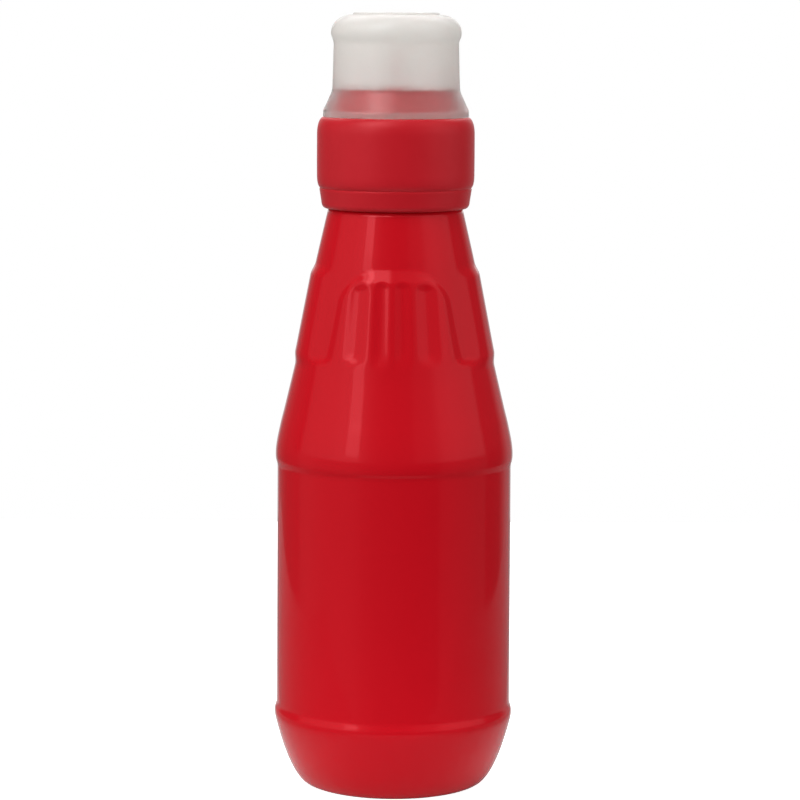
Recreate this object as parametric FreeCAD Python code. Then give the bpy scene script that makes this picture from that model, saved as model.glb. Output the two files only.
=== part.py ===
# Squeeze bottle for sauce: a blow-moulded bottle with a screw closure and a
# frosted overcap.  Millimetres, +Z up, the origin at the centre of the
# standing ring.  The fluted side faces -Y.
#
# Three separate pieces, stacked face to face:
#   bottle    shut and filled, so a closed solid out to its true skin
#   closure   two-tier collar, the dome on its top and the nozzle
#   overcap   hollow shell that stands on the collar, over the dome
import FreeCAD, Part
import math, os

os.makedirs("parts", exist_ok=True)
V = FreeCAD.Vector

# ---------------------------------------------------------------- sizes (mm)
BODY_R_LOW = 32.58        # straight body, just above the lower ring
BODY_R_TOP = 32.36        # straight body, just below the shoulder ring

FOOT_IN_R = 18.0          # standing ring, inner edge
FOOT_OUT_R = 23.2         # standing ring, outer edge
PUSH_UP = 1.6             # depth of the dished base inside the ring
HEEL_KNEE = (26.9, 2.40)  # heel: where the tight corner opens out
HEEL_TOP = (32.72, 17.30)

LOW_RING_R = 33.16        # lower ring, crest
LOW_RING_Z = 19.9
LOW_RING_TOP_Z = 23.4     # where the ring has run out into the body

SHO_RING_R = 32.88        # shoulder ring, crest
SHO_RING_Z = 92.5
SHO_RING_LOW_Z = 88.7     # where the bevel under the ring starts
SHO_END = (31.45, 101.3)  # where the shoulder's round meets the cone

CONE_LOW_R = 30.44        # lower cone, through this radius ...
CONE_LOW_Z = 105.3        # ... at this height
CONE_LOW_SLOPE = 0.2405   # radius lost per mm of height
BAND_BASE_LOW_Z = 119.0   # the cone stands steeper between these heights
BAND_BASE_TOP_Z = 145.2
CONE_TOP_R = 18.50        # top of the bottle's cone, under the collar
CONE_TOP_Z = 160.50
CONE_TOP_SLOPE = 0.2335

# band round the cone: a fluted panel front and back and a plain swelling at
# each side, with a closed valley between each two
GROUPS = 2                # fluted panels round the bottle
PANEL_TURN = -1.8         # the panels' middle, degrees from the front
BAND_RISE = 0.76          # height of the side swellings over the cone
BAND_LOW_Z0 = 117.3       # lower ledge of a swelling has run out
BAND_LOW_Z1 = 121.3       # full height from here up
SIDE_TOP_Z0 = 145.7       # upper ledge of a swelling, the same way
SIDE_TOP_Z1 = 142.2
SIDE_DEG0 = 44.7          # a swelling starts, degrees from the panel
SIDE_DEG1 = 72.5          # and is at full height
VALLEY = 0.60             # depth of the valley beside a panel, below the cone
VALLEY_LOW_Z0 = 118.4     # its closed lower end
VALLEY_LOW_Z1 = 121.4
VALLEY_TOP_Z0 = 125.0     # it fades out between these heights
VALLEY_TOP_Z1 = 148.0
PANEL_RISE_LOW = 0.27     # height of a panel's ribs over the cone, low down
PANEL_RISE_TOP = 0.66     # and at the crown
PANEL_LOW_Z0 = 114.0      # foot of a panel, flush with the cone
PANEL_LOW_Z1 = 122.0
PANEL_DEG = 38.1          # half angle of a panel, middle of its flank
PANEL_SHIFT = 1.3         # flanks against flutes, degrees
PANEL_DEG_Z = 130.3       # at this height
PANEL_SPLAY = 0.17        # degrees lost per mm of height
CORNER_Z = 135.0          # where the panel's rounded corner starts
CORNER_DEG = 11.0         # the corner's centre
PANEL_TOP_Z = 144.5       # middle of the panel's upper ledge
FLANK_SIDE = 4.0          # width of the panel's flank at the side, mm
FLANK_SPREAD = 0.16       # wider by this much per mm down
FLANK_TOP = 1.5           # and round its upper corners
CROWN_IN = 3.5            # over its middle the flank reaches this far inwards
CROWN_OUT = 1.3           # and this far outwards, mm
FLUTE_MID = (6.7, 22.6)   # inner and outer flutes: middle, degrees
FLUTE_HALF = (5.5, 7.9)   # half width, degrees
FLUTE_DEPTH = (0.50, 0.72)
FLUTE_TOP_Z = 142.1       # crown of the flutes' round arches
FLUTE_LOW_Z = 117.8       # their lower ends
FLUTE_FULL_Z = 123.4      # and full depth from here up
FLUTE_SHAPE = 1.6         # 2 would be a parabola, 1 a plain V
FLUTE_ROUND = (0.32, 0.50)        # rounding of the flutes' rims
PATCH_Z0 = 111.0          # the band's surface is sampled between these
PATCH_Z1 = 150.0
PATCH_COLS = 180          # steps over one panel's half of the bottle
PATCH_ROWS = 85

COLLAR_Z0 = 160.50        # underside of the collar
COLLAR_LOW_R = 20.42      # lower tier, at its lower edge
COLLAR_MID_R = 20.95      # lower tier, at the crease
CREASE_Z = 166.1
CREASE_DEPTH = 0.18
COLLAR_R = 21.67          # upper tier
COLLAR_TOP_ROUND_Z = 181.2
COLLAR_TOP_Z = 185.55     # flat that the overcap stands on
COLLAR_FLAT_R = 19.7

DOME_R = 18.25            # dome on the collar, under the overcap's flare
DOME_SHOULDER_Z = 187.1
DOME_TOP_R = 15.85
DOME_TOP_Z = 193.3
NOZZLE_R = 3.2            # nozzle cone on the dome
NOZZLE_TIP_R = 1.8
NOZZLE_Z = 204.0

CAP_Z0 = 185.55           # overcap: rim, on the collar's flat
CAP_RIM_R = 20.0
CAP_FLARE_Z = 186.9       # rim's straight edge ends
CAP_WAIST_R = 17.48       # foot of the straight wall
CAP_WAIST_Z = 193.6
CAP_WALL_R = 17.15        # straight wall, under the bead
CAP_BEAD_Z0 = 205.3
CAP_BEAD_R = 17.87
CAP_BEAD_Z = 208.5
CAP_TOP_Z = 213.40        # end of the crown's round
CAP_DISC_R = 11.9         # raised disc in the crown
CAP_DISC_Z = 213.95
CAP_WALL = 1.15           # thickness


# ------------------------------------------------------------ small helpers
def smooth(a, b, x):
    t = min(1.0, max(0.0, (x - a) / (b - a)))
    return t * t * t * (t * (6.0 * t - 15.0) + 10.0)


def smooth3(a, b, x):
    t = min(1.0, max(0.0, (x - a) / (b - a)))
    return t * t * (3.0 - 2.0 * t)


def soft_max0(x, k):
    return 0.5 * (x + math.sqrt(x * x + k * k)) - 0.5 * k


def line(a, b):
    return Part.LineSegment(V(a[0], 0, a[1]), V(b[0], 0, b[1])).toShape()


def arc(a, m, b):
    return Part.Arc(V(a[0], 0, a[1]), V(m[0], 0, m[1]), V(b[0], 0, b[1])).toShape()


def bezier(*pts):
    c = Part.BezierCurve()
    c.setPoles([V(p[0], 0, p[1]) for p in pts])
    return c.toShape()


# ------------------------------------------------------------------ bottle
def cone_r(z):
    """Radius of the plain cone, without the raised band."""
    r_low_end = CONE_LOW_R - CONE_LOW_SLOPE * (BAND_BASE_LOW_Z - CONE_LOW_Z)
    r_top_start = CONE_TOP_R + CONE_TOP_SLOPE * (CONE_TOP_Z - BAND_BASE_TOP_Z)
    mid = (r_top_start - r_low_end) / (BAND_BASE_TOP_Z - BAND_BASE_LOW_Z)
    # three straight lines joined by rounds of about 3 mm
    s0, s1, s2 = -CONE_LOW_SLOPE, mid, -CONE_TOP_SLOPE
    k = 3.0
    r = CONE_LOW_R + s0 * (z - CONE_LOW_Z)
    r += (s1 - s0) * soft_max0(z - BAND_BASE_LOW_Z, k)
    r += (s2 - s1) * soft_max0(z - BAND_BASE_TOP_Z, k)
    return r


def stadium(u, z, half, z_low, z_top):
    """Distance inside an upright slot with round ends, over its half width."""
    zc = min(max(z, z_low + half), z_top - half)
    return math.hypot(u, z - zc) / half


def relief(deg, z):
    """Height of the skin over the plain cone: deg from the middle of a panel."""
    if z < PANEL_LOW_Z0 or z > 148.0:
        return 0.0
    off = abs(deg - PANEL_SHIFT)
    deg = abs(deg)
    arc_mm = math.radians(1.0) * (cone_r(z) + 0.5 * BAND_RISE)
    # fluted panel, with rounded upper corners
    edge = PANEL_DEG + PANEL_SPLAY * (PANEL_DEG_Z - min(z, CORNER_Z))
    if z <= CORNER_Z:
        d = (off - edge) * arc_mm
        inner = outer = 0.5 * (FLANK_SIDE + FLANK_SPREAD * (CORNER_Z - z))
    else:
        b = PANEL_TOP_Z - CORNER_Z
        across = max(off - CORNER_DEG, 0.0) / (edge - CORNER_DEG)
        up = (z - CORNER_Z) / b
        reach = math.hypot(across, up)
        mean = b + ((edge - CORNER_DEG) * arc_mm - b) * (across / reach) ** 2
        d = (reach - 1.0) * mean
        half_flank = 0.5 * (FLANK_TOP + (FLANK_SIDE - FLANK_TOP) * (across / reach) ** 6)
        middle = (up / reach) ** 3
        inner = half_flank + (CROWN_IN - 0.5 * FLANK_TOP) * middle
        outer = half_flank + (CROWN_OUT - 0.5 * FLANK_TOP) * middle
    panel = 1.0 - smooth3(-inner, outer, d)
    ribs = PANEL_RISE_LOW + (PANEL_RISE_TOP - PANEL_RISE_LOW) * smooth3(PANEL_LOW_Z1, PANEL_TOP_Z, z)
    ribs *= smooth3(PANEL_LOW_Z0, PANEL_LOW_Z1, z)
    # valley beside it, rising into the swelling at the side
    sunk = VALLEY * smooth3(VALLEY_LOW_Z0, VALLEY_LOW_Z1, z) * min(1.0, (VALLEY_TOP_Z1 - z) / (VALLEY_TOP_Z1 - VALLEY_TOP_Z0))
    swell = BAND_RISE * smooth3(BAND_LOW_Z0, BAND_LOW_Z1, z) * smooth3(SIDE_TOP_Z0, SIDE_TOP_Z1, z)
    beside = (swell + sunk) * smooth(SIDE_DEG0, SIDE_DEG1, off) - sunk
    # flutes
    cut = 0.0
    for mid, half, depth, rim in zip(FLUTE_MID, FLUTE_HALF, FLUTE_DEPTH, FLUTE_ROUND):
        t = stadium((deg - mid) * arc_mm, z, half * arc_mm, FLUTE_LOW_Z, FLUTE_TOP_Z)
        cut = max(cut, depth * soft_max0(1.0 - t ** FLUTE_SHAPE, rim))
    return beside + (ribs - beside) * panel - cut * smooth3(FLUTE_LOW_Z, FLUTE_FULL_Z, z)


def even_poles(points, closed):
    """Poles of the evenly spaced cubic through the points, by relaxing
    (pole before + 4 poles + pole after) / 6 = point. Open runs end straight."""
    n = len(points)
    poles = list(points)
    for sweep in range(34):
        last = poles
        poles = []
        for i in range(n):
            if not closed and i in (0, n - 1):
                poles.append(points[i])
                continue
            q, a, b = points[i], last[i - 1], last[(i + 1) % n]
            poles.append(((6.0 * q[0] - a[0] - b[0]) / 4.0, (6.0 * q[1] - a[1] - b[1]) / 4.0))
    return poles


def between(a, b):
    return ((2.0 * a[0] + b[0]) / 3.0, (2.0 * a[1] + b[1]) / 3.0)


def band_patches():
    """The banded stretch of skin as one smooth surface, in as many sectors as panels."""
    columns = PATCH_COLS * GROUPS
    span = 360.0 / GROUPS
    grid, round_points = [], []
    for j in range(PATCH_ROWS):
        z = PATCH_Z0 + (PATCH_Z1 - PATCH_Z0) * j / (PATCH_ROWS - 1)
        ring = []
        for i in range(columns):
            deg = -span / 2.0 + 360.0 * i / columns
            a = math.radians(deg)
            r = cone_r(z) + relief((deg - PANEL_TURN + span / 2.0) % span - span / 2.0, z)
            ring.append((r * math.sin(a), -r * math.cos(a)))
        poles = even_poles(ring, True)
        poles.append(poles[0])
        ring.append(ring[0])
        grid.append(poles)
        round_points.append(ring)
    # the same up the skin, column by column, on poles and on seam points
    def up(column):
        c = even_poles(column, False)
        return [c[0], between(c[0], c[1])] + c[1:-1] + [between(c[-1], c[-2]), c[-1]]
    net = [up([grid[j][i] for j in range(PATCH_ROWS)]) for i in range(columns + 1)]
    seams = {k: up([round_points[j][k * PATCH_COLS] for j in range(PATCH_ROWS)]) for k in range(GROUPS + 1)}
    z_step = (PATCH_Z1 - PATCH_Z0) / (PATCH_ROWS - 1)
    levels = [PATCH_Z0 + z_step * j for j in range(PATCH_ROWS)]
    levels = [levels[0], levels[0] + z_step / 3.0] + levels[1:-1] + [levels[-1] - z_step / 3.0, levels[-1]]
    faces = []
    for k in range(GROUPS):
        first, last = k * PATCH_COLS, (k + 1) * PATCH_COLS
        cols = [seams[k], [between(a, b) for a, b in zip(net[first], net[first + 1])]]
        cols += net[first + 1:last]
        cols += [[between(a, b) for a, b in zip(net[last], net[last - 1])], seams[k + 1]]
        poles = [[V(p[0], p[1], z) for p, z in zip(col, levels)] for col in cols]
        surface = Part.BSplineSurface()
        surface.buildFromPolesMultsKnots(
            poles,
            [4] + [1] * (PATCH_COLS - 1) + [4], [4] + [1] * (PATCH_ROWS - 2) + [4],
            [float(i) for i in range(PATCH_COLS + 1)], [float(j) for j in range(PATCH_ROWS)],
            False, False, 3, 3)
        faces += surface.toShape().Faces
    return faces


def cone_edge(z0, z1, n):
    c = Part.BSplineCurve()
    pts = [V(cone_r(z0 + (z1 - z0) * i / n), 0, z0 + (z1 - z0) * i / n) for i in range(n + 1)]
    c.interpolate(pts)
    return c.toShape()


def bottle_edges_low():
    """Outline from the middle of the base up to the band's surface."""
    e = []
    e.append(arc((0.0, PUSH_UP), (FOOT_IN_R * 0.5, PUSH_UP * 0.78), (FOOT_IN_R - 1.0, 0.12)))
    e.append(bezier((FOOT_IN_R - 1.0, 0.12), (FOOT_IN_R - 0.5, 0.0), (FOOT_IN_R - 0.2, 0.0), (FOOT_IN_R, 0.0)))
    e.append(line((FOOT_IN_R, 0.0), (FOOT_OUT_R, 0.0)))
    e.append(bezier((FOOT_OUT_R, 0.0), (24.9, 0.0), (25.9, 1.02), HEEL_KNEE))
    e.append(bezier(HEEL_KNEE, (29.55, 6.02), (31.5, 12.6), HEEL_TOP))
    crest0 = (LOW_RING_R, LOW_RING_Z)
    e.append(bezier(HEEL_TOP, (33.02, 18.45), (LOW_RING_R, 19.2), crest0))
    ring_end = (BODY_R_LOW, LOW_RING_TOP_Z)
    e.append(bezier(crest0, (LOW_RING_R, 21.6), (BODY_R_LOW, 21.6), ring_end))
    wall_top = (BODY_R_TOP, SHO_RING_LOW_Z)
    e.append(line(ring_end, wall_top))
    crest1 = (SHO_RING_R, SHO_RING_Z)
    e.append(bezier(wall_top, (BODY_R_TOP, 90.5), (SHO_RING_R, 90.3), crest1))
    s = CONE_LOW_SLOPE
    e.append(bezier(crest1, (SHO_RING_R, 95.2), (SHO_END[0] + 3.0 * 0.215, SHO_END[1] - 3.0), SHO_END))
    join = (cone_r(CONE_LOW_Z), CONE_LOW_Z)
    e.append(bezier(SHO_END, (SHO_END[0] - 1.2 * 0.235, SHO_END[1] + 1.2),
                    (join[0] + 1.4 * s, join[1] - 1.4), join))
    e.append(cone_edge(CONE_LOW_Z, PATCH_Z0, 12))
    return e


def bottle_edges_top():
    e = [cone_edge(PATCH_Z1, CONE_TOP_Z, 16)]
    r = cone_r(CONE_TOP_Z)
    e.append(line((r, CONE_TOP_Z), (0.0, CONE_TOP_Z)))
    return e


def make_bottle():
    step = 360.0 / GROUPS
    faces = band_patches()
    for k in range(GROUPS):
        for edge in bottle_edges_low() + bottle_edges_top():
            edge.rotate(V(0, 0, 0), V(0, 0, 1), -90.0 - step / 2.0 + k * step)
            faces += edge.revolve(V(0, 0, 0), V(0, 0, 1), step).Faces
    shell = Part.makeShell(faces)
    shell.sewShape(1e-4)
    shell = shell.Shells[0]
    solid = Part.makeSolid(shell)
    if solid.Volume < 0:
        solid.reverse()
    return solid


# ----------------------------------------------------------------- closure
def make_closure():
    z0 = COLLAR_Z0
    e = []
    e.append(line((0.0, z0), (18.9, z0)))
    e.append(bezier((18.9, z0), (19.9, z0), (20.36, z0 + 0.75), (COLLAR_LOW_R, z0 + 1.9)))
    e.append(line((COLLAR_LOW_R, z0 + 1.9), (COLLAR_MID_R, CREASE_Z - 0.30)))
    e.append(bezier((COLLAR_MID_R, CREASE_Z - 0.30), (COLLAR_MID_R + 0.01, CREASE_Z - 0.1),
                    (COLLAR_MID_R - CREASE_DEPTH, CREASE_Z - 0.08), (COLLAR_MID_R - CREASE_DEPTH, CREASE_Z)))
    e.append(bezier((COLLAR_MID_R - CREASE_DEPTH, CREASE_Z), (COLLAR_MID_R + 0.42, CREASE_Z + 0.55),
                    (COLLAR_R - 0.04, CREASE_Z + 1.55), (COLLAR_R - 0.02, CREASE_Z + 3.6)))
    e.append(line((COLLAR_R - 0.02, CREASE_Z + 3.6), (COLLAR_R, CREASE_Z + 7.5)))
    e.append(line((COLLAR_R, CREASE_Z + 7.5), (COLLAR_R - 0.02, COLLAR_TOP_ROUND_Z)))
    e.append(bezier((COLLAR_R - 0.02, COLLAR_TOP_ROUND_Z), (COLLAR_R - 0.10, COLLAR_TOP_ROUND_Z + 2.7),
                    (COLLAR_FLAT_R + 1.05, COLLAR_TOP_Z), (COLLAR_FLAT_R, COLLAR_TOP_Z)))
    e.append(line((COLLAR_FLAT_R, COLLAR_TOP_Z), (DOME_R + 0.05, COLLAR_TOP_Z)))
    e.append(line((DOME_R + 0.05, COLLAR_TOP_Z), (DOME_R, DOME_SHOULDER_Z - 0.6)))
    e.append(bezier((DOME_R, DOME_SHOULDER_Z - 0.6), (DOME_R - 0.02, DOME_SHOULDER_Z),
                    (DOME_R - 0.3, DOME_SHOULDER_Z + 0.6), (DOME_R - 0.55, DOME_SHOULDER_Z + 1.15)))
    e.append(line((DOME_R - 0.55, DOME_SHOULDER_Z + 1.15), (DOME_TOP_R + 0.25, DOME_TOP_Z - 1.0)))
    e.append(bezier((DOME_TOP_R + 0.25, DOME_TOP_Z - 1.0), (DOME_TOP_R, DOME_TOP_Z - 0.4),
                    (DOME_TOP_R - 0.3, DOME_TOP_Z), (DOME_TOP_R - 0.9, DOME_TOP_Z)))
    e.append(line((DOME_TOP_R - 0.9, DOME_TOP_Z), (NOZZLE_R + 2.0, DOME_TOP_Z)))
    e.append(bezier((NOZZLE_R + 2.0, DOME_TOP_Z), (NOZZLE_R + 0.7, DOME_TOP_Z),
                    (NOZZLE_R + 0.2, DOME_TOP_Z + 0.6), (NOZZLE_R - 0.1, DOME_TOP_Z + 1.8)))
    e.append(line((NOZZLE_R - 0.1, DOME_TOP_Z + 1.8), (NOZZLE_TIP_R, NOZZLE_Z - 1.1)))
    e.append(bezier((NOZZLE_TIP_R, NOZZLE_Z - 1.1), (NOZZLE_TIP_R - 0.15, NOZZLE_Z - 0.4),
                    (NOZZLE_TIP_R - 0.5, NOZZLE_Z), (NOZZLE_TIP_R - 1.1, NOZZLE_Z)))
    e.append(line((NOZZLE_TIP_R - 1.1, NOZZLE_Z), (0.0, NOZZLE_Z)))
    e.append(line((0.0, NOZZLE_Z), (0.0, z0)))
    face = Part.Face(Part.Wire(e))
    return face.revolve(V(0, 0, 0), V(0, 0, 1), 360.0)


# ----------------------------------------------------------------- overcap
def make_overcap():
    w = CAP_WALL
    z0 = CAP_Z0
    e = []
    e.append(line((CAP_RIM_R - w, z0), (CAP_RIM_R - 0.25, z0)))
    e.append(bezier((CAP_RIM_R - 0.25, z0), (CAP_RIM_R - 0.1, z0), (CAP_RIM_R, z0 + 0.1), (CAP_RIM_R, z0 + 0.3)))
    e.append(line((CAP_RIM_R, z0 + 0.3), (CAP_RIM_R - 0.02, CAP_FLARE_Z)))
    e.append(bezier((CAP_RIM_R - 0.02, CAP_FLARE_Z), (CAP_RIM_R - 0.05, CAP_FLARE_Z + 0.65),
                    (19.68, 187.9), (19.35, 188.6)))
    e.append(line((19.35, 188.6), (18.16, 191.25)))
    e.append(bezier((18.16, 191.25), (17.85, 191.95), (CAP_WAIST_R + 0.03, 192.6), (CAP_WAIST_R, CAP_WAIST_Z)))
    e.append(line((CAP_WAIST_R, CAP_WAIST_Z), (CAP_WALL_R, CAP_BEAD_Z0)))
    e.append(bezier((CAP_WALL_R, CAP_BEAD_Z0), (CAP_WALL_R, 206.7), (CAP_BEAD_R, 206.9), (CAP_BEAD_R, CAP_BEAD_Z)))
    # crown: a quarter ellipse from the bead to the disc
    a = CAP_BEAD_R - CAP_DISC_R - 0.1
    b = CAP_TOP_Z - CAP_BEAD_Z
    k = 0.5523
    top_in = (CAP_BEAD_R - a, CAP_TOP_Z)
    e.append(bezier((CAP_BEAD_R, CAP_BEAD_Z), (CAP_BEAD_R, CAP_BEAD_Z + k * b), (top_in[0] + k * a, CAP_TOP_Z), top_in))
    e.append(bezier(top_in, (CAP_DISC_R, CAP_TOP_Z), (CAP_DISC_R, CAP_DISC_Z), (CAP_DISC_R - 0.5, CAP_DISC_Z)))
    e.append(line((CAP_DISC_R - 0.5, CAP_DISC_Z), (0.0, CAP_DISC_Z)))
    # inside, back down to the rim
    zi = CAP_TOP_Z - w
    ri = CAP_WALL_R - w
    e.append(line((0.0, CAP_DISC_Z), (0.0, zi)))
    e.append(line((0.0, zi), (ri - 3.2, zi)))
    e.append(bezier((ri - 3.2, zi), (ri - 1.4, zi), (ri, zi - 1.4), (ri, zi - 3.2)))
    e.append(line((ri, zi - 3.2), (CAP_WAIST_R - w, CAP_WAIST_Z + 0.2)))
    e.append(bezier((CAP_WAIST_R - w, CAP_WAIST_Z + 0.2), (CAP_WAIST_R - w + 0.02, 192.5), (16.75, 191.6), (17.1, 190.85)))
    e.append(line((17.1, 190.85), (18.28, 188.2)))
    e.append(bezier((18.28, 188.2), (18.6, 187.5), (CAP_RIM_R - w - 0.02, 187.4), (CAP_RIM_R - w, 186.6)))
    e.append(line((CAP_RIM_R - w, 186.6), (CAP_RIM_R - w, z0)))
    face = Part.Face(Part.Wire(e))
    return face.revolve(V(0, 0, 0), V(0, 0, 1), 360.0)


if __name__ == "__main__":
    for name, make in (("bottle", make_bottle), ("closure", make_closure), ("overcap", make_overcap)):
        shape = make()
        solids = shape.Solids
        solid = solids[0] if len(solids) == 1 else shape
        print(name, "valid", solid.isValid(), "solids", len(solids), "volume_ml", round(solid.Volume / 1000.0, 2),
              "box", [round(v, 2) for v in (solid.BoundBox.XMin, solid.BoundBox.YMin, solid.BoundBox.ZMin,
                                            solid.BoundBox.XMax, solid.BoundBox.YMax, solid.BoundBox.ZMax)])
        solid.exportStep("parts/%s.step" % name)
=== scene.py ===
import bpy
import math
from mathutils import Matrix, Vector


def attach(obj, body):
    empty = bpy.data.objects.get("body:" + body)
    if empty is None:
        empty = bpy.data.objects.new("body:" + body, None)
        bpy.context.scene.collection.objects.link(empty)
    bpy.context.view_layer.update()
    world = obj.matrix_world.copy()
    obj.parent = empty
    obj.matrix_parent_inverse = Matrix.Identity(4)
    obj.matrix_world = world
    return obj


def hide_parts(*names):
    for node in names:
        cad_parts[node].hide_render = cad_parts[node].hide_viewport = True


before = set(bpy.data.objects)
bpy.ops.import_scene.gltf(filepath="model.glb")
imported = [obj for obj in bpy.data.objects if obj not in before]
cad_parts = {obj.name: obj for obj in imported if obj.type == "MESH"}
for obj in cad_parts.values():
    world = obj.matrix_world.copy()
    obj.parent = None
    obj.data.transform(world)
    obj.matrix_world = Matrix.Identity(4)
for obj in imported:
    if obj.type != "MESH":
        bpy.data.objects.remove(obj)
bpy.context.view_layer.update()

MM = 0.001

# =========================================================== sizes (mm)
BODY_R_LOW = 32.58
BODY_R_TOP = 32.36
FOOT_IN_R = 18.0
FOOT_OUT_R = 23.2
PUSH_UP = 1.6
HEEL_KNEE = (26.9, 2.40)
HEEL_TOP = (32.72, 17.30)
LOW_RING_R = 33.16
LOW_RING_Z = 19.9
LOW_RING_TOP_Z = 23.4
SHO_RING_R = 32.88
SHO_RING_Z = 92.5
SHO_RING_LOW_Z = 88.7
SHO_END = (31.45, 101.3)
CONE_LOW_R = 30.44
CONE_LOW_Z = 105.3
CONE_LOW_SLOPE = 0.2405
BAND_BASE_LOW_Z = 119.0
BAND_BASE_TOP_Z = 145.2
CONE_TOP_R = 18.50
CONE_TOP_Z = 160.50
CONE_TOP_SLOPE = 0.2335
GROUPS = 2
PANEL_TURN = -1.8
BAND_RISE = 0.76
BAND_LOW_Z0 = 117.3
BAND_LOW_Z1 = 121.3
SIDE_TOP_Z0 = 145.7
SIDE_TOP_Z1 = 142.2
SIDE_DEG0 = 44.7
SIDE_DEG1 = 72.5
VALLEY = 0.60
VALLEY_LOW_Z0 = 118.4
VALLEY_LOW_Z1 = 121.4
VALLEY_TOP_Z0 = 125.0
VALLEY_TOP_Z1 = 148.0
PANEL_RISE_LOW = 0.27
PANEL_RISE_TOP = 0.66
PANEL_LOW_Z0 = 114.0
PANEL_LOW_Z1 = 122.0
PANEL_DEG = 38.1
PANEL_SHIFT = 1.3
PANEL_DEG_Z = 130.3
PANEL_SPLAY = 0.17
CORNER_Z = 135.0
CORNER_DEG = 11.0
PANEL_TOP_Z = 144.5
FLANK_SIDE = 4.0
FLANK_SPREAD = 0.16
FLANK_TOP = 1.5
CROWN_IN = 3.5
CROWN_OUT = 1.3
FLUTE_MID = (6.7, 22.6)
FLUTE_HALF = (5.5, 7.9)
FLUTE_DEPTH = (0.50, 0.72)
FLUTE_TOP_Z = 142.1
FLUTE_LOW_Z = 117.8
FLUTE_FULL_Z = 123.4
FLUTE_SHAPE = 1.6
FLUTE_ROUND = (0.32, 0.50)
PATCH_Z0 = 111.0
PATCH_Z1 = 150.0
COLLAR_Z0 = 160.50
COLLAR_LOW_R = 20.42
COLLAR_MID_R = 20.95
CREASE_Z = 166.1
CREASE_DEPTH = 0.18
COLLAR_R = 21.67
COLLAR_TOP_ROUND_Z = 181.2
COLLAR_TOP_Z = 185.55
COLLAR_FLAT_R = 19.7
DOME_R = 18.25
DOME_SHOULDER_Z = 187.1
DOME_TOP_R = 15.85
DOME_TOP_Z = 193.3
NOZZLE_R = 3.2
NOZZLE_TIP_R = 1.8
NOZZLE_Z = 204.0
CAP_Z0 = 185.55
CAP_RIM_R = 20.0
CAP_FLARE_Z = 186.9
CAP_WAIST_R = 17.48
CAP_WAIST_Z = 193.6
CAP_WALL_R = 17.15
CAP_BEAD_Z0 = 205.3
CAP_BEAD_R = 17.87
CAP_BEAD_Z = 208.5
CAP_TOP_Z = 213.40
CAP_DISC_R = 11.9
CAP_DISC_Z = 213.95
CAP_WALL = 1.15


# =========================================================== the skin
def smooth(a, b, x):
    t = min(1.0, max(0.0, (x - a) / (b - a)))
    return t * t * t * (t * (6.0 * t - 15.0) + 10.0)


def smooth3(a, b, x):
    t = min(1.0, max(0.0, (x - a) / (b - a)))
    return t * t * (3.0 - 2.0 * t)


def soft_max0(x, k):
    return 0.5 * (x + math.sqrt(x * x + k * k)) - 0.5 * k


def cone_r(z):
    r_low_end = CONE_LOW_R - CONE_LOW_SLOPE * (BAND_BASE_LOW_Z - CONE_LOW_Z)
    r_top_start = CONE_TOP_R + CONE_TOP_SLOPE * (CONE_TOP_Z - BAND_BASE_TOP_Z)
    mid = (r_top_start - r_low_end) / (BAND_BASE_TOP_Z - BAND_BASE_LOW_Z)
    s0, s1, s2 = -CONE_LOW_SLOPE, mid, -CONE_TOP_SLOPE
    k = 3.0
    r = CONE_LOW_R + s0 * (z - CONE_LOW_Z)
    r += (s1 - s0) * soft_max0(z - BAND_BASE_LOW_Z, k)
    r += (s2 - s1) * soft_max0(z - BAND_BASE_TOP_Z, k)
    return r


def stadium(u, z, half, z_low, z_top):
    zc = min(max(z, z_low + half), z_top - half)
    return math.hypot(u, z - zc) / half


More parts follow.
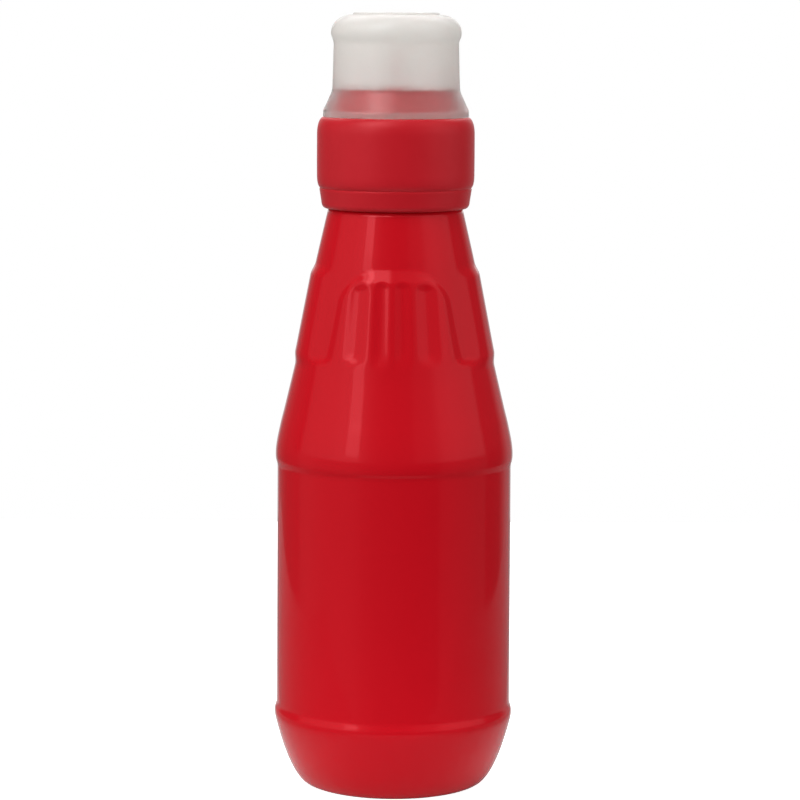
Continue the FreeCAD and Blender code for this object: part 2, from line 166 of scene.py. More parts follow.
def relief(deg, z):
    """Height of the skin over the plain cone: deg from the middle of a panel."""
    if z < PANEL_LOW_Z0 or z > 148.0:
        return 0.0
    off = abs(deg - PANEL_SHIFT)
    deg = abs(deg)
    arc_mm = math.radians(1.0) * (cone_r(z) + 0.5 * BAND_RISE)
    # fluted panel, with rounded upper corners
    edge = PANEL_DEG + PANEL_SPLAY * (PANEL_DEG_Z - min(z, CORNER_Z))
    if z <= CORNER_Z:
        d = (off - edge) * arc_mm
        inner = outer = 0.5 * (FLANK_SIDE + FLANK_SPREAD * (CORNER_Z - z))
    else:
        b = PANEL_TOP_Z - CORNER_Z
        across = max(off - CORNER_DEG, 0.0) / (edge - CORNER_DEG)
        up = (z - CORNER_Z) / b
        reach = math.hypot(across, up)
        mean = b + ((edge - CORNER_DEG) * arc_mm - b) * (across / reach) ** 2
        d = (reach - 1.0) * mean
        half_flank = 0.5 * (FLANK_TOP + (FLANK_SIDE - FLANK_TOP) * (across / reach) ** 6)
        middle = (up / reach) ** 3
        inner = half_flank + (CROWN_IN - 0.5 * FLANK_TOP) * middle
        outer = half_flank + (CROWN_OUT - 0.5 * FLANK_TOP) * middle
    panel = 1.0 - smooth3(-inner, outer, d)
    ribs = PANEL_RISE_LOW + (PANEL_RISE_TOP - PANEL_RISE_LOW) * smooth3(PANEL_LOW_Z1, PANEL_TOP_Z, z)
    ribs *= smooth3(PANEL_LOW_Z0, PANEL_LOW_Z1, z)
    # valley beside it, rising into the swelling at the side
    sunk = VALLEY * smooth3(VALLEY_LOW_Z0, VALLEY_LOW_Z1, z) * min(1.0, (VALLEY_TOP_Z1 - z) / (VALLEY_TOP_Z1 - VALLEY_TOP_Z0))
    swell = BAND_RISE * smooth3(BAND_LOW_Z0, BAND_LOW_Z1, z) * smooth3(SIDE_TOP_Z0, SIDE_TOP_Z1, z)
    beside = (swell + sunk) * smooth(SIDE_DEG0, SIDE_DEG1, off) - sunk
    # flutes
    cut = 0.0
    for mid, half, depth, rim in zip(FLUTE_MID, FLUTE_HALF, FLUTE_DEPTH, FLUTE_ROUND):
        t = stadium((deg - mid) * arc_mm, z, half * arc_mm, FLUTE_LOW_Z, FLUTE_TOP_Z)
        cut = max(cut, depth * soft_max0(1.0 - t ** FLUTE_SHAPE, rim))
    return beside + (ribs - beside) * panel - cut * smooth3(FLUTE_LOW_Z, FLUTE_FULL_Z, z)


def skin_r(deg, z):
    if z <= PATCH_Z0 or z >= PATCH_Z1:
        return cone_r(z)
    span = 360.0 / GROUPS
    wrapped = (deg - PANEL_TURN + span / 2.0) % span - span / 2.0
    return cone_r(z) + relief(wrapped, z)


# =========================================================== mesh code
def line(a, b, n=1):
    return [(a[0] + (b[0] - a[0]) * i / n, a[1] + (b[1] - a[1]) * i / n) for i in range(n + 1)]


def bezier(p0, p1, p2, p3, n=10):
    out = []
    for i in range(n + 1):
        t = i / n
        s = 1.0 - t
        out.append(tuple(s * s * s * a + 3 * s * s * t * b + 3 * s * t * t * c + t * t * t * d
                         for a, b, c, d in zip(p0, p1, p2, p3)))
    return out


def arc3(a, m, b, n=10):
    """Arc through three points of the outline."""
    ax, ay, bx, by, cx, cy = a[0], a[1], m[0], m[1], b[0], b[1]
    d = 2.0 * (ax * (by - cy) + bx * (cy - ay) + cx * (ay - by))
    ux = ((ax * ax + ay * ay) * (by - cy) + (bx * bx + by * by) * (cy - ay) + (cx * cx + cy * cy) * (ay - by)) / d
    uy = ((ax * ax + ay * ay) * (cx - bx) + (bx * bx + by * by) * (ax - cx) + (cx * cx + cy * cy) * (bx - ax)) / d
    r = math.hypot(ax - ux, ay - uy)
    t0 = math.atan2(ay - uy, ax - ux)
    t1 = math.atan2(cy - uy, cx - ux)
    tm = math.atan2(by - uy, bx - ux)
    def unwrap(t, ref):
        while t < ref - math.pi:
            t += 2 * math.pi
        while t > ref + math.pi:
            t -= 2 * math.pi
        return t
    tm = unwrap(tm, t0)
    t1 = unwrap(t1, tm)
    pts = [(ux + r * math.cos(t0 + (t1 - t0) * i / n), uy + r * math.sin(t0 + (t1 - t0) * i / n)) for i in range(n + 1)]
    pts[0], pts[-1] = a, b
    return pts


def join(*runs):
    pts = []
    for run in runs:
        for p in run:
            if not pts or math.hypot(p[0] - pts[-1][0], p[1] - pts[-1][1]) > 1e-6:
                pts.append(p)
    return pts


def turned(name, outline, segments, closed=False, radius=None):
    """Mesh turned about Z from an outline of (r, z) in mm, from the front, -Y.
    A closed outline makes a ring-like shell; an open one starts and ends on the axis.
    radius(deg, z, r) may change the radius of a point."""
    verts, faces, rings = [], [], []
    for r, z in outline:
        if r < 1e-6:
            rings.append([len(verts)])
            verts.append((0.0, 0.0, z * MM))
            continue
        ring = []
        for i in range(segments):
            deg = 360.0 * i / segments
            a = math.radians(deg)
            rr = radius(deg, z, r) if radius else r
            ring.append(len(verts))
            verts.append((rr * math.sin(a) * MM, -rr * math.cos(a) * MM, z * MM))
        rings.append(ring)
    pairs = list(zip(rings, rings[1:]))
    if closed:
        pairs.append((rings[-1], rings[0]))
    for low, high in pairs:
        for i in range(segments):
            j = (i + 1) % segments
            if len(low) == 1 and len(high) == 1:
                continue
            if len(low) == 1:
                faces.append((low[0], high[j], high[i]))
            elif len(high) == 1:
                faces.append((low[i], low[j], high[0]))
            else:
                faces.append((low[i], low[j], high[j], high[i]))
    mesh = bpy.data.meshes.new(name)
    mesh.from_pydata(verts, [], faces)
    mesh.validate()
    mesh.polygons.foreach_set("use_smooth", [True] * len(mesh.polygons))
    mesh.update()
    obj = bpy.data.objects.new(name, mesh)
    bpy.context.scene.collection.objects.link(obj)
    return obj


# =========================================================== bottle
foot = join(
    arc3((0.0, PUSH_UP), (FOOT_IN_R * 0.5, PUSH_UP * 0.78), (FOOT_IN_R - 1.0, 0.12), 12),
    bezier((FOOT_IN_R - 1.0, 0.12), (FOOT_IN_R - 0.5, 0.0), (FOOT_IN_R - 0.2, 0.0), (FOOT_IN_R, 0.0), 4),
    line((FOOT_IN_R, 0.0), (FOOT_OUT_R, 0.0), 4),
    bezier((FOOT_OUT_R, 0.0), (24.9, 0.0), (25.9, 1.02), HEEL_KNEE, 14),
    bezier(HEEL_KNEE, (29.55, 6.02), (31.5, 12.6), HEEL_TOP, 20),
    bezier(HEEL_TOP, (33.02, 18.45), (LOW_RING_R, 19.2), (LOW_RING_R, LOW_RING_Z), 8),
    bezier((LOW_RING_R, LOW_RING_Z), (LOW_RING_R, 21.6), (BODY_R_LOW, 21.6), (BODY_R_LOW, LOW_RING_TOP_Z), 14),
    line((BODY_R_LOW, LOW_RING_TOP_Z), (BODY_R_TOP, SHO_RING_LOW_Z), 16),
    bezier((BODY_R_TOP, SHO_RING_LOW_Z), (BODY_R_TOP, 90.5), (SHO_RING_R, 90.3), (SHO_RING_R, SHO_RING_Z), 14),
    bezier((SHO_RING_R, SHO_RING_Z), (SHO_RING_R, 95.2), (SHO_END[0] + 3.0 * 0.215, SHO_END[1] - 3.0), SHO_END, 14),
    bezier(SHO_END, (SHO_END[0] - 1.2 * 0.235, SHO_END[1] + 1.2),
           (cone_r(CONE_LOW_Z) + 1.4 * CONE_LOW_SLOPE, CONE_LOW_Z - 1.4), (cone_r(CONE_LOW_Z), CONE_LOW_Z), 6),
)
cone_rows = [CONE_LOW_Z + (PATCH_Z0 - CONE_LOW_Z) * i / 5 for i in range(1, 6)]
cone_rows += [PATCH_Z0 + 1.0 * i for i in range(1, 7)]
z = 117.3
while z < 146.4:
    cone_rows.append(z)
    z += 0.30 if 119.0 < z < 124.0 or z > 136.0 else 0.42
cone_rows += [147.0 + (CONE_TOP_Z - 147.0) * i / 10 for i in range(0, 11)]
outline = foot + [(cone_r(z), z) for z in cone_rows]
outline.append((0.0, CONE_TOP_Z))
bottle = turned("bottle_skin", outline, 400,
                radius=lambda deg, z, r: skin_r(deg, z) if r > 15.0 and PATCH_Z0 < z < PATCH_Z1 else r)

# =========================================================== closure
z0 = COLLAR_Z0
closure_outline = join(
    line((0.0, z0), (18.9, z0), 3),
    bezier((18.9, z0), (19.9, z0), (20.36, z0 + 0.75), (COLLAR_LOW_R, z0 + 1.9), 12),
    line((COLLAR_LOW_R, z0 + 1.9), (COLLAR_MID_R, CREASE_Z - 0.30), 6),
    bezier((COLLAR_MID_R, CREASE_Z - 0.30), (COLLAR_MID_R + 0.01, CREASE_Z - 0.1),
           (COLLAR_MID_R - CREASE_DEPTH, CREASE_Z - 0.08), (COLLAR_MID_R - CREASE_DEPTH, CREASE_Z), 5),
    bezier((COLLAR_MID_R - CREASE_DEPTH, CREASE_Z), (COLLAR_MID_R + 0.42, CREASE_Z + 0.55),
           (COLLAR_R - 0.04, CREASE_Z + 1.55), (COLLAR_R - 0.02, CREASE_Z + 3.6), 14),
    line((COLLAR_R - 0.02, CREASE_Z + 3.6), (COLLAR_R, CREASE_Z + 7.5), 4),
    line((COLLAR_R, CREASE_Z + 7.5), (COLLAR_R - 0.02, COLLAR_TOP_ROUND_Z), 6),
    bezier((COLLAR_R - 0.02, COLLAR_TOP_ROUND_Z), (COLLAR_R - 0.10, COLLAR_TOP_ROUND_Z + 2.7),
           (COLLAR_FLAT_R + 1.05, COLLAR_TOP_Z), (COLLAR_FLAT_R, COLLAR_TOP_Z), 16),
    line((COLLAR_FLAT_R, COLLAR_TOP_Z), (DOME_R + 0.05, COLLAR_TOP_Z), 2),
    line((DOME_R + 0.05, COLLAR_TOP_Z), (DOME_R, DOME_SHOULDER_Z - 0.6), 2),
    bezier((DOME_R, DOME_SHOULDER_Z - 0.6), (DOME_R - 0.02, DOME_SHOULDER_Z),
           (DOME_R - 0.3, DOME_SHOULDER_Z + 0.6), (DOME_R - 0.55, DOME_SHOULDER_Z + 1.15), 6),
    line((DOME_R - 0.55, DOME_SHOULDER_Z + 1.15), (DOME_TOP_R + 0.25, DOME_TOP_Z - 1.0), 4),
    bezier((DOME_TOP_R + 0.25, DOME_TOP_Z - 1.0), (DOME_TOP_R, DOME_TOP_Z - 0.4),
           (DOME_TOP_R - 0.3, DOME_TOP_Z), (DOME_TOP_R - 0.9, DOME_TOP_Z), 8),
    line((DOME_TOP_R - 0.9, DOME_TOP_Z), (NOZZLE_R + 2.0, DOME_TOP_Z), 3),
    bezier((NOZZLE_R + 2.0, DOME_TOP_Z), (NOZZLE_R + 0.7, DOME_TOP_Z),
           (NOZZLE_R + 0.2, DOME_TOP_Z + 0.6), (NOZZLE_R - 0.1, DOME_TOP_Z + 1.8), 8),
    line((NOZZLE_R - 0.1, DOME_TOP_Z + 1.8), (NOZZLE_TIP_R, NOZZLE_Z - 1.1), 5),
    bezier((NOZZLE_TIP_R, NOZZLE_Z - 1.1), (NOZZLE_TIP_R - 0.15, NOZZLE_Z - 0.4),
           (NOZZLE_TIP_R - 0.5, NOZZLE_Z), (NOZZLE_TIP_R - 1.1, NOZZLE_Z), 6),
    line((NOZZLE_TIP_R - 1.1, NOZZLE_Z), (0.0, NOZZLE_Z), 1),
)
closure = turned("closure_shell", closure_outline, 320)

# =========================================================== overcap
w = CAP_WALL
z0 = CAP_Z0
crown_a = CAP_BEAD_R - CAP_DISC_R - 0.1
crown_b = CAP_TOP_Z - CAP_BEAD_Z
top_in = (CAP_BEAD_R - crown_a, CAP_TOP_Z)
zi = CAP_TOP_Z - w
ri = CAP_WALL_R - w
cap_out = join(
    line((CAP_RIM_R - w, z0), (CAP_RIM_R - 0.25, z0), 2),
    bezier((CAP_RIM_R - 0.25, z0), (CAP_RIM_R - 0.1, z0), (CAP_RIM_R, z0 + 0.1), (CAP_RIM_R, z0 + 0.3), 5),
    line((CAP_RIM_R, z0 + 0.3), (CAP_RIM_R - 0.02, CAP_FLARE_Z), 3),
    bezier((CAP_RIM_R - 0.02, CAP_FLARE_Z), (CAP_RIM_R - 0.05, CAP_FLARE_Z + 0.65), (19.68, 187.9), (19.35, 188.6), 8),
    line((19.35, 188.6), (18.16, 191.25), 6),
    bezier((18.16, 191.25), (17.85, 191.95), (CAP_WAIST_R + 0.03, 192.6), (CAP_WAIST_R, CAP_WAIST_Z), 10),
    line((CAP_WAIST_R, CAP_WAIST_Z), (CAP_WALL_R, CAP_BEAD_Z0), 12),
    bezier((CAP_WALL_R, CAP_BEAD_Z0), (CAP_WALL_R, 206.7), (CAP_BEAD_R, 206.9), (CAP_BEAD_R, CAP_BEAD_Z), 14),
    bezier((CAP_BEAD_R, CAP_BEAD_Z), (CAP_BEAD_R, CAP_BEAD_Z + 0.5523 * crown_b),
           (top_in[0] + 0.5523 * crown_a, CAP_TOP_Z), top_in, 24),
    bezier(top_in, (CAP_DISC_R, CAP_TOP_Z), (CAP_DISC_R, CAP_DISC_Z), (CAP_DISC_R - 0.5, CAP_DISC_Z), 8),
    line((CAP_DISC_R - 0.5, CAP_DISC_Z), (0.0, CAP_DISC_Z), 6),
)
cap_in = join(
    line((0.0, zi), (ri - 3.2, zi), 5),
    bezier((ri - 3.2, zi), (ri - 1.4, zi), (ri, zi - 1.4), (ri, zi - 3.2), 10),
    line((ri, zi - 3.2), (CAP_WAIST_R - w, CAP_WAIST_Z + 0.2), 12),
    bezier((CAP_WAIST_R - w, CAP_WAIST_Z + 0.2), (CAP_WAIST_R - w + 0.02, 192.5), (16.75, 191.6), (17.1, 190.85), 10),
    line((17.1, 190.85), (18.28, 188.2), 6),
    bezier((18.28, 188.2), (18.6, 187.5), (CAP_RIM_R - w - 0.02, 187.4), (CAP_RIM_R - w, 186.6), 8),
    line((CAP_RIM_R - w, 186.6), (CAP_RIM_R - w, z0), 2),
)
# the two skins meet at the rim; on the axis each closes on its own point
overcap = turned("overcap_shell", cap_out + cap_in[:-1], 320, closed=True)

for piece, node, slot in ((bottle, "bottle", "bottle_red"), (closure, "closure", "closure_red"),
                          (overcap, "overcap", "overcap_frosted")):
    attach(piece, "root")
    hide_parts(node)


# =========================================================== materials
class Nodes:
    """Small helper for writing node trees."""

    def __init__(self, name):
        self.mat = bpy.data.materials.new(name)
        self.mat.use_nodes = True
        self.tree = self.mat.node_tree
        self.tree.nodes.clear()
        self.out = self.add("ShaderNodeOutputMaterial")

    def add(self, kind, **values):
        node = self.tree.nodes.new(kind)
        for key, value in values.items():
            if key[:3] == "in_":
                node.inputs[key[3:].replace("_", " ")].default_value = value
            else:
                setattr(node, key, value)
        return node

    def link(self, a, b):
        self.tree.links.new(a, b)

    def noise(self, coord, scale, detail=2.0, rough=0.5, stretch=None):
        src = coord
        if stretch:
            m = self.add("ShaderNodeMapping")
            m.inputs["Scale"].default_value = stretch
            self.link(coord, m.inputs["Vector"])
            src = m.outputs["Vector"]
        n = self.add("ShaderNodeTexNoise")
        n.inputs["Scale"].default_value = scale
        n.inputs["Detail"].default_value = detail
        n.inputs["Roughness"].default_value = rough
        self.link(src, n.inputs["Vector"])
        return n.outputs["Fac"]

    def remap(self, fac, lo, hi, a, b):
        m = self.add("ShaderNodeMapRange")
        m.inputs["From Min"].default_value = lo
        m.inputs["From Max"].default_value = hi
        m.inputs["To Min"].default_value = a
        m.inputs["To Max"].default_value = b
        self.link(fac, m.inputs["Value"])
        return m.outputs["Result"]

    def mix_colour(self, fac, a, b):
        m = self.add("ShaderNodeMix", data_type="RGBA")
        self.link(fac, m.inputs["Factor"])
        for s, v in (("A", a), ("B", b)):
            sock = [i for i in m.inputs if i.name == s and i.type == "RGBA"][0]
            sock.default_value = (*v, 1.0)
        return [o for o in m.outputs if o.type == "RGBA"][0]

    def bump(self, height, strength, distance, normal=None):
        b = self.add("ShaderNodeBump")
        b.inputs["Strength"].default_value = strength
        b.inputs["Distance"].default_value = distance
        self.link(height, b.inputs["Height"])
        if normal is not None:
            self.link(normal, b.inputs["Normal"])
        return b.outputs["Normal"]


def bottle_material():
    n = Nodes("bottle_red")
    tc = n.add("ShaderNodeTexCoord").outputs["Object"]
    p = n.add("ShaderNodeBsdfPrincipled")
    cloud = n.noise(tc, 22.0, 3.0, 0.55, (1.0, 1.0, 0.45))
    tint = n.remap(cloud, 0.3, 0.7, 0.0, 1.0)
    n.link(n.mix_colour(tint, (0.527, 0.0049, 0.0112), (0.551, 0.0056, 0.0126)), p.inputs["Base Color"])
    grain = n.noise(tc, 260.0, 3.0, 0.6, (1.0, 1.0, 0.25))
    n.link(n.remap(grain, 0.3, 0.7, 0.055, 0.085), p.inputs["Roughness"])
    wave = n.noise(tc, 95.0, 2.0, 0.5, (1.0, 1.0, 0.35))
    peel = n.noise(tc, 700.0, 2.0, 0.5)
    n1 = n.bump(wave, 0.05, 0.0004)
    n2 = n.bump(peel, 0.05, 0.00008, n1)
    n.link(n2, p.inputs["Normal"])
    p.inputs["IOR"].default_value = 1.49
    p.inputs["Specular Tint"].default_value = (1.0, 0.24, 0.27, 1.0)
    n.link(p.outputs["BSDF"], n.out.inputs["Surface"])
    return n.mat


def closure_material():
    n = Nodes("closure_red")
    tc = n.add("ShaderNodeTexCoord").outputs["Object"]
    p = n.add("ShaderNodeBsdfPrincipled")
    cloud = n.noise(tc, 60.0, 3.0, 0.6)
    n.link(n.mix_colour(n.remap(cloud, 0.3, 0.7, 0.0, 1.0), (0.494, 0.0088, 0.0158), (0.518, 0.0102, 0.0182)),
           p.inputs["Base Color"])
    grain = n.noise(tc, 1500.0, 3.0, 0.6)
    n.link(n.remap(grain, 0.3, 0.7, 0.32, 0.40), p.inputs["Roughness"])
    n1 = n.bump(n.noise(tc, 3200.0, 2.0, 0.6), 0.30, 0.00008)
    n2 = n.bump(n.noise(tc, 160.0, 2.0, 0.5), 0.10, 0.0004, n1)
    n.link(n2, p.inputs["Normal"])
    p.inputs["IOR"].default_value = 1.49
    p.inputs["Sheen Weight"].default_value = 0.05
    p.inputs["Sheen Roughness"].default_value = 0.4
    p.inputs["Sheen Tint"].default_value = (1.0, 0.8, 0.8, 1.0)
    p.inputs["Specular Tint"].default_value = (1.0, 0.35, 0.38, 1.0)
    n.link(p.outputs["BSDF"], n.out.inputs["Surface"])
    return n.mat


def overcap_material():
    """Frosted plastic: milky wall, clearer skirt, pale rim."""
    n = Nodes("overcap_frosted")
    tc = n.add("ShaderNodeTexCoord").outputs["Object"]
    height = n.add("ShaderNodeSeparateXYZ")
    n.link(tc, height.inputs[0])
    cloud = n.noise(tc, 90.0, 3.0, 0.55, (1.0, 1.0, 0.4))
    tint = n.remap(cloud, 0.3, 0.7, 0.0, 1.0)
    grain = n.noise(tc, 900.0, 3.0, 0.6)
    bumps = n.bump(n.noise(tc, 2200.0, 2.0, 0.6), 0.20, 0.00006)

    p = n.add("ShaderNodeBsdfPrincipled")
    n.link(n.mix_colour(tint, (0.970, 0.965, 0.940), (0.990, 0.985, 0.965)), p.inputs["Base Color"])
    n.link(n.remap(grain, 0.3, 0.7, 0.42, 0.48), p.inputs["Roughness"])
    n.link(bumps, p.inputs["Normal"])
    p.inputs["IOR"].default_value = 1.24
    p.inputs["Transmission Weight"].default_value = 0.98
    p.inputs["Coat Weight"].default_value = 0.2
    p.inputs["Coat Roughness"].default_value = 0.25

    glow = n.add("ShaderNodeBsdfTranslucent")
    n.link(n.mix_colour(tint, (0.982, 0.985, 0.960), (0.995, 0.996, 0.978)), glow.inputs["Color"])
    skin = n.add("ShaderNodeBsdfPrincipled")
    n.link(n.mix_colour(tint, (0.965, 0.972, 0.940), (0.985, 0.992, 0.962)), skin.inputs["Base Color"])
    n.link(n.remap(grain, 0.3, 0.7, 0.26, 0.34), skin.inputs["Roughness"])
    skin.inputs["Coat Weight"].default_value = 1.0
    skin.inputs["Coat Roughness"].default_value = 0.14
    milk = n.add("ShaderNodeMixShader")
    milk.inputs["Fac"].default_value = 0.50
    n.link(glow.outputs["BSDF"], milk.inputs[1])
    n.link(skin.outputs["BSDF"], milk.inputs[2])

    rim = n.remap(height.outputs["Z"], 0.18690, 0.18760, 0.19, 0.0)
    wall = n.remap(height.outputs["Z"], 0.19280, 0.19480, 0.03, 0.66)
    share = n.add("ShaderNodeMath", operation="ADD")
    n.link(rim, share.inputs[0])
    n.link(wall, share.inputs[1])
    mix = n.add("ShaderNodeMixShader")
    n.link(share.outputs[0], mix.inputs["Fac"])
    n.link(p.outputs["BSDF"], mix.inputs[1])
    n.link(milk.outputs["Shader"], mix.inputs[2])
    n.link(mix.outputs["Shader"], n.out.inputs["Surface"])
    return n.mat


for piece, material in ((bottle, bottle_material()), (closure, closure_material()), (overcap, overcap_material())):
    piece.data.materials.clear()
    piece.data.materials.append(material)


# =========================================================== stage
def floor_mesh():
    """Pale floor, cut short in front of the bottle."""
    x, front, back, zf = 0.30, -0.125, 0.45, -0.00002
    verts = [(-x, front, zf), (x, front, zf), (x, back, zf), (-x, back, zf)]
    mesh = bpy.data.meshes.new("floor")
    mesh.from_pydata(verts, [], [(0, 1, 2, 3)])
    mesh.update()
    obj = bpy.data.objects.new("floor", mesh)
    bpy.context.scene.collection.objects.link(obj)
    return obj


floor = floor_mesh()
fm = Nodes("floor_pale_painted_side_shade")
fp = fm.add("ShaderNodeBsdfPrincipled")
fc = fm.add("ShaderNodeTexCoord").outputs["Object"]
# painted shade: the base colour turns much greyer away from the bottle, on either side, so the body's flanks mirror a
# darker floor; a faint mottle is mixed in
floor_place = fm.add("ShaderNodeSeparateXYZ")
fm.link(fc, floor_place.inputs[0])
aside = fm.add("ShaderNodeMath", operation="ABSOLUTE")
fm.link(floor_place.outputs["X"], aside.inputs[0])
side_shade_and_mottle = fm.add("ShaderNodeMath", operation="MULTIPLY_ADD")
fm.link(fm.noise(fc, 9.0, 3.0, 0.5), side_shade_and_mottle.inputs[0])
side_shade_and_mottle.inputs[1].default_value = 0.06
fm.link(fm.remap(aside.outputs[0], 0.036, 0.095, 0.0, 1.0), side_shade_and_mottle.inputs[2])
# painted shade: pale 0.74 near the bottle, dark grey 0.20 out at the sides, seen in the reflections and the bounce
# light
fm.link(fm.mix_colour(side_shade_and_mottle.outputs[0], (0.74, 0.74, 0.74), (0.20, 0.20, 0.20)), fp.inputs["Base Color"])
fp.inputs["Roughness"].default_value = 0.85
fp.inputs["Emission Color"].default_value = (1.0, 1.0, 1.0, 1.0)
floor_path = fm.add("ShaderNodeLightPath")      # clean white to the camera, the grey above in the reflections
fm.link(floor_path.outputs["Is Camera Ray"], fp.inputs["Emission Strength"])
fm.link(fp.outputs["BSDF"], fm.out.inputs["Surface"])
floor.data.materials.append(fm.mat)


def soft_fill(name, azimuth, elevation, watts, size=0.9, distance=1.0, aim_z=0.11):
    """Large soft light that fills the colour but is not mirrored in the plastic.
    Azimuth 0 is on the camera's side, positive to the right."""
    light = bpy.data.lights.new(name, "AREA")
    light.shape = "RECTANGLE"
    light.size = size
    light.size_y = size
    light.energy = watts
    obj = bpy.data.objects.new(name, light)
    a, e = math.radians(azimuth), math.radians(elevation)
    centre = Vector((0.0, 0.0, aim_z))
    place = centre + distance * Vector((math.sin(a) * math.cos(e), -math.cos(a) * math.cos(e), math.sin(e)))
    obj.matrix_world = Matrix.Translation(place) @ (centre - place).to_track_quat("-Z", "Y").to_matrix().to_4x4()
    obj.visible_camera = False
    obj.visible_glossy = False
    bpy.context.scene.collection.objects.link(obj)
    return obj


soft_fill("fill_left", -98, 0, 1.7)
soft_fill("fill_right", 86, 2, 3.0)
soft_fill("fill_front", 5, -5, 0.15)


# World: studio panels as bands round the bottle, radiance against azimuth
# (0 = camera's side, + = right), in three tiers of height.
HIGH = ((-180, 2.30), (-135, 2.00), (-118, 0.30), (-98, 0.30), (-88, 0.60), (-50, 0.70), (0, 0.50),
        (30, 0.70), (60, 1.30), (90, 1.20), (100, 0.12), (118, 0.12), (135, 2.00), (180, 2.30))
UPPER = ((-180, 1.10), (-165, 1.05), (-157, 0.36), (-142, 0.15), (-131, 0.09), (-106, 0.08), (-101, 0.36),
         (-80, 0.78), (-68, 1.02), (-57, 1.35), (-50, 1.45), (-35.5, 1.45), (-34, 1.05),
         (-30, 0.80), (-22, 0.42), (-12, 0.24), (0, 0.15), (18, 0.19), (21, 0.36), (40, 0.56), (46, 0.86),
         (50, 1.10), (64, 1.16), (80, 0.90), (97, 0.64), (102, 0.14), (130, 0.08), (142, 0.23), (156, 0.50),
         (164, 1.35), (180, 1.20))
LOWER = ((-180, 0.58), (-165, 0.52), (-157, 0.22), (-140, 0.12), (-131, 0.085), (-110, 0.11), (-103, 0.24),
         (-92, 0.35), (-75, 0.41), (-50, 0.50), (-40, 0.48), (-30, 0.32), (-15, 0.18), (0, 0.12), (14, 0.07),
         (30, 0.07), (44, 0.10), (47, 0.31), (62, 0.35), (85, 0.28), (100, 0.21), (104, 0.08), (126, 0.075),
         (138, 0.25), (146, 0.32), (157, 0.28), (165, 0.52), (180, 0.58))
UNDER = 0.70              # well below the floor's level
TIER_TOP = 3.0            # the ramps hold radiance over this

world = bpy.data.worlds.new("studio")
bpy.context.scene.world = world
world.use_nodes = True
wt = world.node_tree
wt.nodes.clear()


def calc(op, a, b=None):
    node = wt.nodes.new("ShaderNodeMath")
    node.operation = op
    for i, v in enumerate((a, b)):
        if v is None:
            continue
        if isinstance(v, (int, float)):
            node.inputs[i].default_value = v
        else:
            wt.links.new(v, node.inputs[i])
    return node.outputs[0]


def step_between(value, a, b, lo=0.0, hi=1.0):
    m = wt.nodes.new("ShaderNodeMapRange")
    m.interpolation_type = "SMOOTHSTEP"
    m.inputs["From Min"].default_value = a
    m.inputs["From Max"].default_value = b
    m.inputs["To Min"].default_value = lo
    m.inputs["To Max"].default_value = hi
    wt.links.new(value, m.inputs["Value"])
    return m.outputs["Result"]


def tier(stops, turn):
    ramp = wt.nodes.new("ShaderNodeValToRGB")
    ramp.color_ramp.interpolation = "LINEAR"
    e = ramp.color_ramp.elements
    while len(e) > 1:
        e.remove(e[-1])
    for i, (deg, value) in enumerate(stops):
        if i == 0:
            item = e[0]
            item.position = 0.0
        else:
            item = e.new((deg + 180.0) / 360.0)
        g = value / TIER_TOP
        item.color = (g, g, g, 1.0)
    wt.links.new(turn, ramp.inputs["Fac"])
    return ramp.outputs["Color"]


out = wt.nodes.new("ShaderNodeOutputWorld")
geo = wt.nodes.new("ShaderNodeTexCoord")
sep = wt.nodes.new("ShaderNodeSeparateXYZ")
wt.links.new(geo.outputs["Generated"], sep.inputs[0])
toward = calc("MULTIPLY", sep.outputs["Y"], -1.0)
turn = calc("ADD", calc("DIVIDE", calc("ARCTAN2", sep.outputs["X"], toward), 2.0 * math.pi), 0.5)
rise = calc("MULTIPLY", calc("ARCSINE", sep.outputs["Z"]), 180.0 / math.pi)
above_low = step_between(rise, 0.0, 4.5)
above_mid = step_between(rise, 27.0, 34.0)
below = step_between(rise, -38.0, -32.0, 1.0, 0.0)
high = calc("MULTIPLY", tier(HIGH, turn), calc("MULTIPLY", above_mid, step_between(rise, 57.0, 67.0, 1.0, 0.04)))
upper = calc("MULTIPLY", tier(UPPER, turn), calc("MULTIPLY", above_low, calc("SUBTRACT", 1.0, above_mid)))
lower = calc("MULTIPLY", tier(LOWER, turn), calc("SUBTRACT", calc("SUBTRACT", 1.0, above_low), below))
under = calc("MULTIPLY", below, UNDER / TIER_TOP)


def window(value, a0, a1, b0, b1):
    return calc("MULTIPLY", step_between(value, a0, a1), step_between(value, b0, b1, 1.0, 0.0))


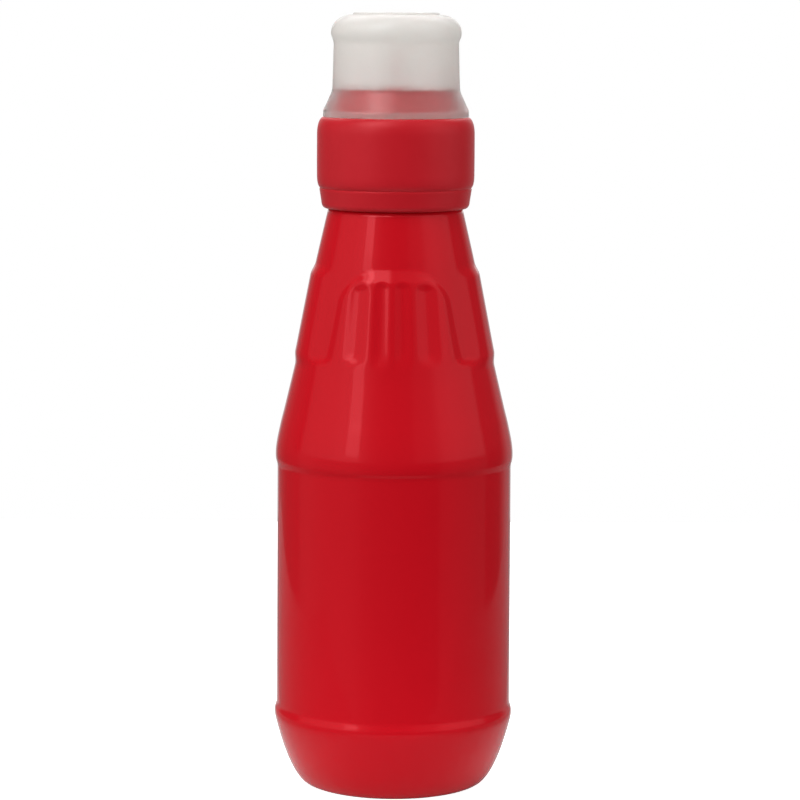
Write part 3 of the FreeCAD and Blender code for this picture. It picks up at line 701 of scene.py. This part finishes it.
# key light on the camera's left: an upright strip that opens into an overhead panel
bearing = calc("MULTIPLY", calc("SUBTRACT", turn, 0.5), 360.0)
strip = calc("MULTIPLY", window(bearing, -49.5, -47.5, -35.8, -34.2),
             calc("MULTIPLY", step_between(rise, 17.0, 24.0, 1.5, 2.9), window(rise, 6.0, 11.0, 66.0, 74.0)))
panel = calc("MULTIPLY", window(bearing, -68.0, -57.0, -12.0, -3.0), window(rise, 25.0, 31.0, 66.0, 76.0))
key = calc("ADD", strip, calc("MULTIPLY", panel, 3.1))
# and a flat panel straight above
key = calc("ADD", key, calc("MULTIPLY", step_between(rise, 74.0, 79.0), 2.2))
total = calc("ADD", calc("MULTIPLY", calc("ADD", calc("ADD", upper, lower), calc("ADD", high, under)), TIER_TOP), key)
back = wt.nodes.new("ShaderNodeBackground")
back.inputs["Color"].default_value = (1.0, 1.0, 1.0, 1.0)
wt.links.new(total, back.inputs["Strength"])
seen = wt.nodes.new("ShaderNodeBackground")
seen.inputs["Color"].default_value = (1.0, 1.0, 1.0, 1.0)
seen.inputs["Strength"].default_value = 1.0
path = wt.nodes.new("ShaderNodeLightPath")
mix = wt.nodes.new("ShaderNodeMixShader")
wt.links.new(path.outputs["Is Camera Ray"], mix.inputs["Fac"])
wt.links.new(back.outputs[0], mix.inputs[1])
wt.links.new(seen.outputs[0], mix.inputs[2])
wt.links.new(mix.outputs[0], out.inputs["Surface"])

scene = bpy.context.scene
scene.view_settings.view_transform = "Standard"
scene.view_settings.look = "None"

# =========================================================== camera
cam = bpy.data.cameras.new("camera")
cam.lens = 143.9
cam.sensor_width = 36.0
cam.clip_start = 0.01
cam.clip_end = 50.0
camera = bpy.data.objects.new("camera", cam)
scene.collection.objects.link(camera)
pitch = math.radians(7.042)
camera.matrix_world = (Matrix.Translation((0.00153, -0.880, 0.2160))
                       @ Matrix.Rotation(math.pi / 2 - pitch, 4, "X")
                       @ Matrix.Rotation(0.0055, 4, "Z"))
scene.camera = camera
bpy.context.view_layer.update()
